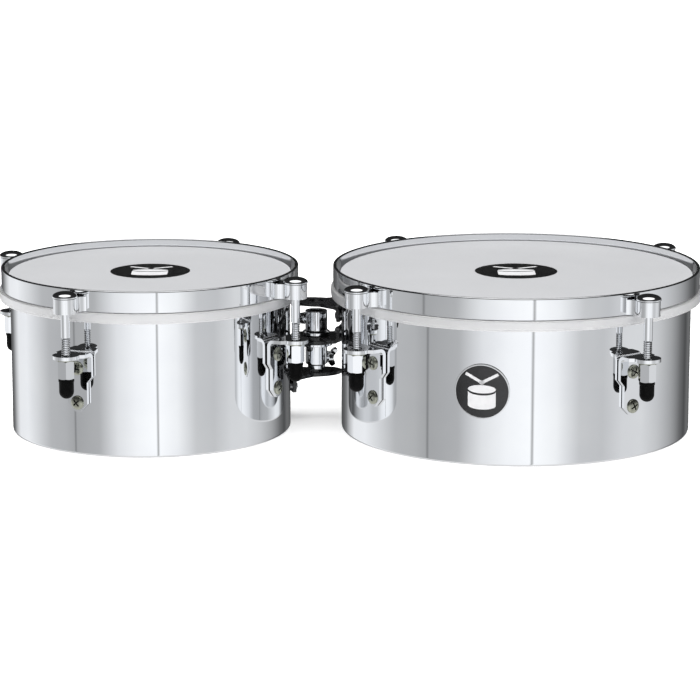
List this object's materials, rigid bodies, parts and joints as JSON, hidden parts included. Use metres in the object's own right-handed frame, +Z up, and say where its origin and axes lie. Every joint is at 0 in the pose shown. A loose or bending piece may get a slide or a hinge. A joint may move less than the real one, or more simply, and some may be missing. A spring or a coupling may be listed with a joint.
{
  "type": "mini timbales",
  "caption": "Pair of shallow open-bottomed chrome drums of two sizes, joined by a swivelling black rod mount, with hoops, tension rods and plastic heads.",
  "frame": {"origin": "on the floor, under the middle of the pair's box", "axes": "+X from the small drum to the large one, +Z up, -Y towards the player"},
  "size_m": [0.5167, 0.2694, 0.1202],
  "materials": {
    "chrome": "mirror chrome on steel",
    "flesh_hoop_aluminium": "matt, finely turned",
    "head_film": "smooth light grey film with a slight haze",
    "rubber": "black, satin",
    "black_paint": "black powder coat",
    "zinc_plate": "nickel plated",
    "badge_print": null
  },
  "bodies": {
    "small_drum": {"small_shell": "chrome", "small_head_film": "head_film", "small_lug_bracket_1": "chrome", "small_lug_bracket_2": "chrome", "small_lug_bracket_3": "chrome", "small_lug_bracket_4": "chrome", "small_lower_plate": "black_paint", "small_lower_plate_front_bolt": "zinc_plate", "small_lower_plate_rear_bolt": "zinc_plate", "small_upper_plate": "black_paint", "small_upper_plate_front_bolt": "zinc_plate", "small_upper_plate_rear_bolt": "zinc_plate", "lower_rod_collar": "chrome"},
    "small_hoop": {"small_flesh_hoop": "flesh_hoop_aluminium", "small_counterhoop": "chrome", "small_tension_rod_1": "chrome", "small_tension_rod_2": "chrome", "small_tension_rod_3": "chrome", "small_tension_rod_4": "chrome"},
    "small_nut_1": {"small_tension_nut_1": "chrome", "small_rubber_cap_1": "rubber"},
    "small_nut_2": {"small_tension_nut_2": "chrome", "small_rubber_cap_2": "rubber"},
    "small_nut_3": {"small_tension_nut_3": "chrome", "small_rubber_cap_3": "rubber"},
    "small_nut_4": {"small_tension_nut_4": "chrome", "small_rubber_cap_4": "rubber"},
    "small_screw": {"small_wing_screw": "chrome"},
    "large_drum": {"large_shell": "chrome", "large_head_film": "head_film", "large_lug_bracket_1": "chrome", "large_lug_bracket_2": "chrome", "large_lug_bracket_3": "chrome", "large_lug_bracket_4": "chrome", "large_lower_plate": "black_paint", "large_lower_plate_front_bolt": "zinc_plate", "large_lower_plate_rear_bolt": "zinc_plate", "large_upper_plate": "black_paint", "large_upper_plate_front_bolt": "zinc_plate", "large_upper_plate_rear_bolt": "zinc_plate", "upper_rod_collar": "chrome", "badge": "badge_print"},
    "large_hoop": {"large_flesh_hoop": "flesh_hoop_aluminium", "large_counterhoop": "chrome", "large_tension_rod_1": "chrome", "large_tension_rod_2": "chrome", "large_tension_rod_3": "chrome", "large_tension_rod_4": "chrome"},
    "large_nut_1": {"large_tension_nut_1": "chrome", "large_rubber_cap_1": "rubber"},
    "large_nut_2": {"large_tension_nut_2": "chrome", "large_rubber_cap_2": "rubber"},
    "large_nut_3": {"large_tension_nut_3": "chrome", "large_rubber_cap_3": "rubber"},
    "large_nut_4": {"large_tension_nut_4": "chrome", "large_rubber_cap_4": "rubber"},
    "large_screw": {"large_wing_screw": "chrome"}
  },
  "joints": [
    {"name": "drum_swivel", "type": "hinge", "parent": "small_drum", "child": "large_drum", "pos_m": [-0.02205, 0.031, 0.0585], "axis": [0, 0, 1], "range_deg": [-12, 45]},
    {"name": "small_nut_1_turn", "type": "hinge", "parent": "small_drum", "child": "small_nut_1", "pos_m": [-0.08994, 0.10651, 0.0648], "axis": [0, 0, 1], "range_deg": [-577, 721]},
    {"name": "small_nut_2_turn", "type": "hinge", "parent": "small_drum", "child": "small_nut_2", "pos_m": [-0.24885, 0.05241, 0.0648], "axis": [0, 0, 1], "range_deg": [-577, 721]},
    {"name": "small_nut_3_turn", "type": "hinge", "parent": "small_drum", "child": "small_nut_3", "pos_m": [-0.19475, -0.10651, 0.0648], "axis": [0, 0, 1], "range_deg": [-577, 721]},
    {"name": "small_nut_4_turn", "type": "hinge", "parent": "small_drum", "child": "small_nut_4", "pos_m": [-0.03584, -0.05241, 0.0648], "axis": [0, 0, 1], "range_deg": [-577, 721]},
    {"name": "small_hoop_slide", "type": "slide", "parent": "small_drum", "child": "small_hoop", "axis": [0, 0, 1], "range_m": [-0.00254, 0.00203]},
    {"name": "small_wing_screw_turn", "type": "hinge", "parent": "small_drum", "child": "small_screw", "pos_m": [-0.01236, 0.03349, 0.0437], "axis": [0.9684, 0.2495, 0], "range_deg": [-720, 360]},
    {"name": "large_nut_1_turn", "type": "hinge", "parent": "large_drum", "child": "large_nut_1", "pos_m": [0.23979, 0.08531, 0.0648], "axis": [0, 0, 1], "range_deg": [-577, 721]},
    {"name": "large_nut_2_turn", "type": "hinge", "parent": "large_drum", "child": "large_nut_2", "pos_m": [0.03834, 0.11613, 0.0648], "axis": [0, 0, 1], "range_deg": [-577, 721]},
    {"name": "large_nut_3_turn", "type": "hinge", "parent": "large_drum", "child": "large_nut_3", "pos_m": [0.00752, -0.08531, 0.0648], "axis": [0, 0, 1], "range_deg": [-577, 721]},
    {"name": "large_nut_4_turn", "type": "hinge", "parent": "large_drum", "child": "large_nut_4", "pos_m": [0.20896, -0.11613, 0.0648], "axis": [0, 0, 1], "range_deg": [-577, 721]},
    {"name": "large_hoop_slide", "type": "slide", "parent": "large_drum", "child": "large_hoop", "axis": [0, 0, 1], "range_m": [-0.00254, 0.00203]},
    {"name": "large_wing_screw_turn", "type": "hinge", "parent": "large_drum", "child": "large_screw", "pos_m": [-0.03183, 0.03308, 0.0731], "axis": [-0.9781, 0.2081, 0], "range_deg": [-720, 360]}
  ],
  "couplings": [
    {"joint": "small_nut_1_turn", "follows": "small_hoop_slide", "rad_per_m": -4947.4},
    {"joint": "small_nut_2_turn", "follows": "small_hoop_slide", "rad_per_m": -4947.4},
    {"joint": "small_nut_3_turn", "follows": "small_hoop_slide", "rad_per_m": -4947.4},
    {"joint": "small_nut_4_turn", "follows": "small_hoop_slide", "rad_per_m": -4947.4},
    {"joint": "large_nut_1_turn", "follows": "large_hoop_slide", "rad_per_m": -4947.4},
    {"joint": "large_nut_2_turn", "follows": "large_hoop_slide", "rad_per_m": -4947.4},
    {"joint": "large_nut_3_turn", "follows": "large_hoop_slide", "rad_per_m": -4947.4},
    {"joint": "large_nut_4_turn", "follows": "large_hoop_slide", "rad_per_m": -4947.4}
  ]
}
